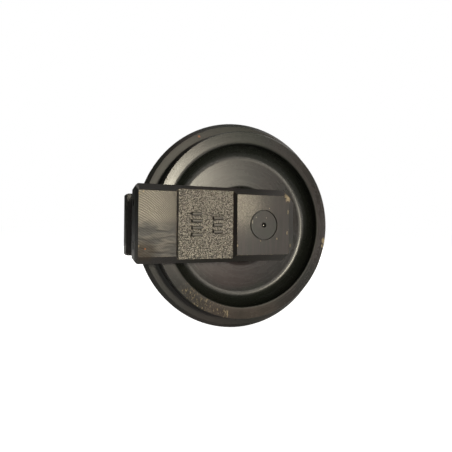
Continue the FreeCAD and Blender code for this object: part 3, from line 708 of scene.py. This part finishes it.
def moulded_rubber(name):
    """Black rubber with the fine matt skin of its mould."""
    material, tree, shader, own = start_material(name)
    skin = noise(tree, own["Object"], 900.0, 3.0)
    bloom = noise(tree, own["Object"], 60.0, 4.0)
    black, bloomed = (0.016, 0.016, 0.016, 1), (0.034, 0.033, 0.031, 1)
    colour = mix_colour(tree, smooth_step(tree, bloom, 0.45, 0.7), black, bloomed)
    bump = put(tree, "ShaderNodeBump", {"Strength": 0.4, "Distance": 0.00005, "Height": skin})
    connect(tree, shader, Base_Color=colour, Roughness=line(tree, bloom, 0.2, 0.55), Normal=bump.outputs[0])
    return material


bronze = turned_metal("Bronze", (0.40, 0.25, 0.10, 1), (0.62, 0.42, 0.20, 1), 0.38, 0.0006)
lapped_iron = turned_metal("Lapped iron", (0.22, 0.22, 0.23, 1), (0.38, 0.38, 0.39, 1), 0.26, 0.0004)
spring_steel = turned_metal("Black spring steel", (0.05, 0.05, 0.055, 1), (0.11, 0.11, 0.12, 1), 0.42, 0.0009)
soft_copper = turned_metal("Soft copper", (0.48, 0.22, 0.12, 1), (0.70, 0.38, 0.24, 1), 0.34, 0.0005)
pin_steel = turned_metal("Polished pin steel", (0.42, 0.41, 0.39, 1), (0.62, 0.60, 0.57, 1), 0.25, 0.0003)
seal_rubber = moulded_rubber("Seal rubber")
print("inner finishes ready")

# %% Finishes given to the CAD nodes
finishes = {
    "turned_paint": turned_paint, "cast_paint": cast_paint, "ground_steel": ground_steel, "bronze": bronze,
    "lapped_iron": lapped_iron, "seal_rubber": seal_rubber, "spring_steel": spring_steel,
    "copper_washer": soft_copper}
for node in nodes.values():
    slot_name = node.data.materials[0].name.split(".")[0]
    node.data.materials[0] = finishes[slot_name]
print("finishes given to", len(nodes), "CAD nodes")

# %% [markdown]
# ## Casting strokes
#
# A foundry marks each pattern so that its castings can be told apart. Here that mark is plain tally
# strokes, raised on the raw face between the pads, four in one column and three in the next. Each stroke is
# a bar with a rounded back. A grid would need its edges rounded by hand, so each one starts as a cube that
# is scaled, and its upper edges are then bevelled, as a pattern maker rounds them so that the sand lets go.

# %% Piece: casting strokes
def finish_piece(name, mesh, material):
    """Makes an object of a bmesh, smooth all over, at the origin."""
    for face in mesh.faces:
        face.smooth = True
    data = bpy.data.meshes.new(name)
    mesh.to_mesh(data)
    mesh.free()
    data.materials.append(material)
    piece = bpy.data.objects.new(name, data)
    bpy.context.scene.collection.objects.link(piece)
    print(name, len(data.polygons), "faces")
    return piece


def casting_strokes(name, side):
    """Raised bars on a bracket's middle face. side is -1 on the near bracket and 1 on the far one."""
    bar_size, stroke_pitch, rounding = (0.0140, 0.0072, 0.0044), 0.0092, 0.0010
    mesh = bmesh.new()
    for column, count, first in ((-0.0965, 4, 0.0138), (-0.0670, 3, 0.0085)):
        for number in range(count):
            bar = bmesh.ops.create_cube(mesh, size=1.0)["verts"]
            bmesh.ops.scale(mesh, verts=bar, vec=bar_size)
            place = (column, side * middle_face, first - number * stroke_pitch)
            bmesh.ops.translate(mesh, verts=bar, vec=place)
    upper = [e for e in mesh.edges if all(side * v.co.y > middle_face for v in e.verts)
             or abs(e.verts[0].co.y - e.verts[1].co.y) > 0.001]
    bmesh.ops.bevel(mesh, geom=upper, offset=rounding, segments=4, affect="EDGES", profile=0.5, material=-1)
    piece = finish_piece(name, mesh, cast_paint)
    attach(piece, "carrier")


casting_strokes("near_casting_strokes", -1)
casting_strokes("far_casting_strokes", 1)

# %% [markdown]
# ## Centre plug
#
# The shaft was turned between centres, and each end keeps its centre hole. The far end's is taken by the
# oil plug. In the near one, a small pin with a polished dome is pressed in, a little below the end face, so
# the hole shows as a dark ring round one bright point. It is a round piece, so only half of its outline is
# drawn, and a full spin about the shaft's axis makes the rest.

# %% Piece: centre plug
def centre_plug(name, side):
    """A domed pin in the shaft's centre hole. side is -1 at the near end and 1 at the far one."""
    radius, sunk, long = 0.0015, 0.0007, 0.004
    top = -pad_face - sunk
    dome_steps = 6
    mesh = bmesh.new()
    outline = [mesh.verts.new((0, side * top, 0))]
    for number in range(1, dome_steps + 1):
        turn = number / dome_steps * math.pi / 2
        drop = radius * (1 - math.cos(turn))
        outline.append(mesh.verts.new((radius * math.sin(turn), side * (top - drop), 0)))
    outline.append(mesh.verts.new((radius, side * (top - long), 0)))
    outline.append(mesh.verts.new((0, side * (top - long), 0)))
    edges = [mesh.edges.new(pair) for pair in zip(outline, outline[1:])]
    bmesh.ops.spin(mesh, geom=outline + edges, cent=(0, 0, 0), axis=(0, 1, 0), angle=2 * math.pi, steps=32,
                   use_merge=True)
    bmesh.ops.remove_doubles(mesh, verts=mesh.verts, dist=1e-6)
    bmesh.ops.recalc_face_normals(mesh, faces=mesh.faces)
    piece = finish_piece(name, mesh, pin_steel)
    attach(piece, "carrier")


centre_plug("near_centre_plug", -1)

# %% [markdown]
# ## Floor and surroundings
#
# The part stands on a plain pale floor in a white studio. Dark paint shows what surrounds it, so a really
# bright room would wash it out. The world is therefore white only where the camera looks straight at it,
# and dim in every reflection, as if black flags stood round the part. The floor is white in the same way,
# and keeps a faint glow of its own for the reflections, because a real sheet of paper throws some light up
# under the part.

# %% Floor
floor_mesh = bmesh.new()
floor_half_width, gap = 30.0, 0.0002
bmesh.ops.create_grid(floor_mesh, x_segments=1, y_segments=1, size=floor_half_width)
bmesh.ops.translate(floor_mesh, verts=floor_mesh.verts, vec=(0, 0, cad_low.z - gap))
floor_data = bpy.data.meshes.new("Floor")
floor_mesh.to_mesh(floor_data)
floor_mesh.free()
floor = bpy.data.objects.new("Floor", floor_data)
bpy.context.scene.collection.objects.link(floor)
pale = bpy.data.materials.new("Pale floor")
pale.use_nodes = True
tree = pale.node_tree
tree.nodes.clear()
seen = tree.nodes.new("ShaderNodeLightPath").outputs["Is Camera Ray"]
matt = put(tree, "ShaderNodeBsdfDiffuse", {"Color": (0.75, 0.75, 0.75, 1)})
glow = put(tree, "ShaderNodeEmission", {"Color": (1, 1, 1, 1), "Strength": line(tree, seen, 0.88, 0.09)})
both = put(tree, "ShaderNodeAddShader", {0: matt.outputs[0], 1: glow.outputs[0]})
put(tree, "ShaderNodeOutputMaterial", {"Surface": both.outputs[0]})
floor_data.materials.append(pale)
print("floor at", round(cad_low.z, 4))

# %% World
world = bpy.data.worlds.new("Studio")
bpy.context.scene.world = world
world.use_nodes = True
tree = world.node_tree
tree.nodes.clear()
seen = tree.nodes.new("ShaderNodeLightPath").outputs["Is Camera Ray"]
dim = put(tree, "ShaderNodeBackground", {"Color": (0.92, 1.0, 0.90, 1), "Strength": 0.042})
white = put(tree, "ShaderNodeBackground", {"Color": (1, 1, 1, 1), "Strength": 1.0})
choice = put(tree, "ShaderNodeMixShader", {0: seen, 1: dim.outputs[0], 2: white.outputs[0]})
put(tree, "ShaderNodeOutputWorld", {"Surface": choice.outputs[0]})
print("world:", world.name)

# %% [markdown]
# ## Light
#
# One small strong lamp stands in front, a little right of centre and a little high. The eye is far to the
# left, so the faces that look straight forward throw that lamp's reflection towards it from their upper
# left, and it fades across the wheel to the lower right. Long low strips, just above the floor, light the
# lower half and draw the bright line in the dish's curve. All lamps stand above the floor, since one below
# it would be hidden by it. The lamps at the right, behind and high up light the sides that this view hardly
# shows, so that the other views are readable too.

# %% Lamps
def soft_lamp(name, place, size, power, colour):
    """A rectangular area lamp at a place, turned to face the wheel's middle."""
    lamp = bpy.data.objects.new(name, bpy.data.lights.new(name, "AREA"))
    bpy.context.scene.collection.objects.link(lamp)
    lamp.data.shape = "RECTANGLE"
    lamp.data.size, lamp.data.size_y = size
    lamp.data.energy = power
    lamp.data.color = colour
    lamp.location = place
    wheel_middle = Vector((0, 0, 0))
    lamp.rotation_euler = (wheel_middle - Vector(place)).to_track_quat("-Z", "Y").to_euler()


rosy, nearly_white = (1.0, 0.93, 0.88), (1.0, 0.97, 0.93)
soft_lamp("Key", (0.44, -2.60, 0.33), (0.26, 0.26), 25.5, (1.0, 0.92, 0.74))
soft_lamp("Front right", (1.20, -2.60, 0.60), (0.8, 0.7), 3.4, (1.0, 0.94, 0.86))
soft_lamp("Low strip left", (-0.30, -2.60, -0.08), (0.7, 0.14), 3.8, rosy)
soft_lamp("Low strip right", (2.60, -2.60, -0.08), (0.7, 0.14), 4.7, rosy)
soft_lamp("Low near", (0.55, -1.50, -0.10), (0.6, 0.1), 1.1, rosy)
soft_lamp("Right", (2.60, 0.00, 0.40), (1.2, 1.0), 4.8, (1.0, 0.95, 0.88))
soft_lamp("Top", (0.00, 0.00, 2.60), (1.6, 1.6), 5.6, (1.0, 0.98, 0.96))
soft_lamp("Back", (0.70, 2.40, 0.50), (1.6, 1.0), 42.0, (1.0, 0.96, 0.90))
soft_lamp("High left", (-1.50, 1.50, 2.10), (1.2, 1.2), 6.0, nearly_white)
soft_lamp("High right", (1.80, 1.20, 2.00), (1.2, 1.2), 5.0, nearly_white)
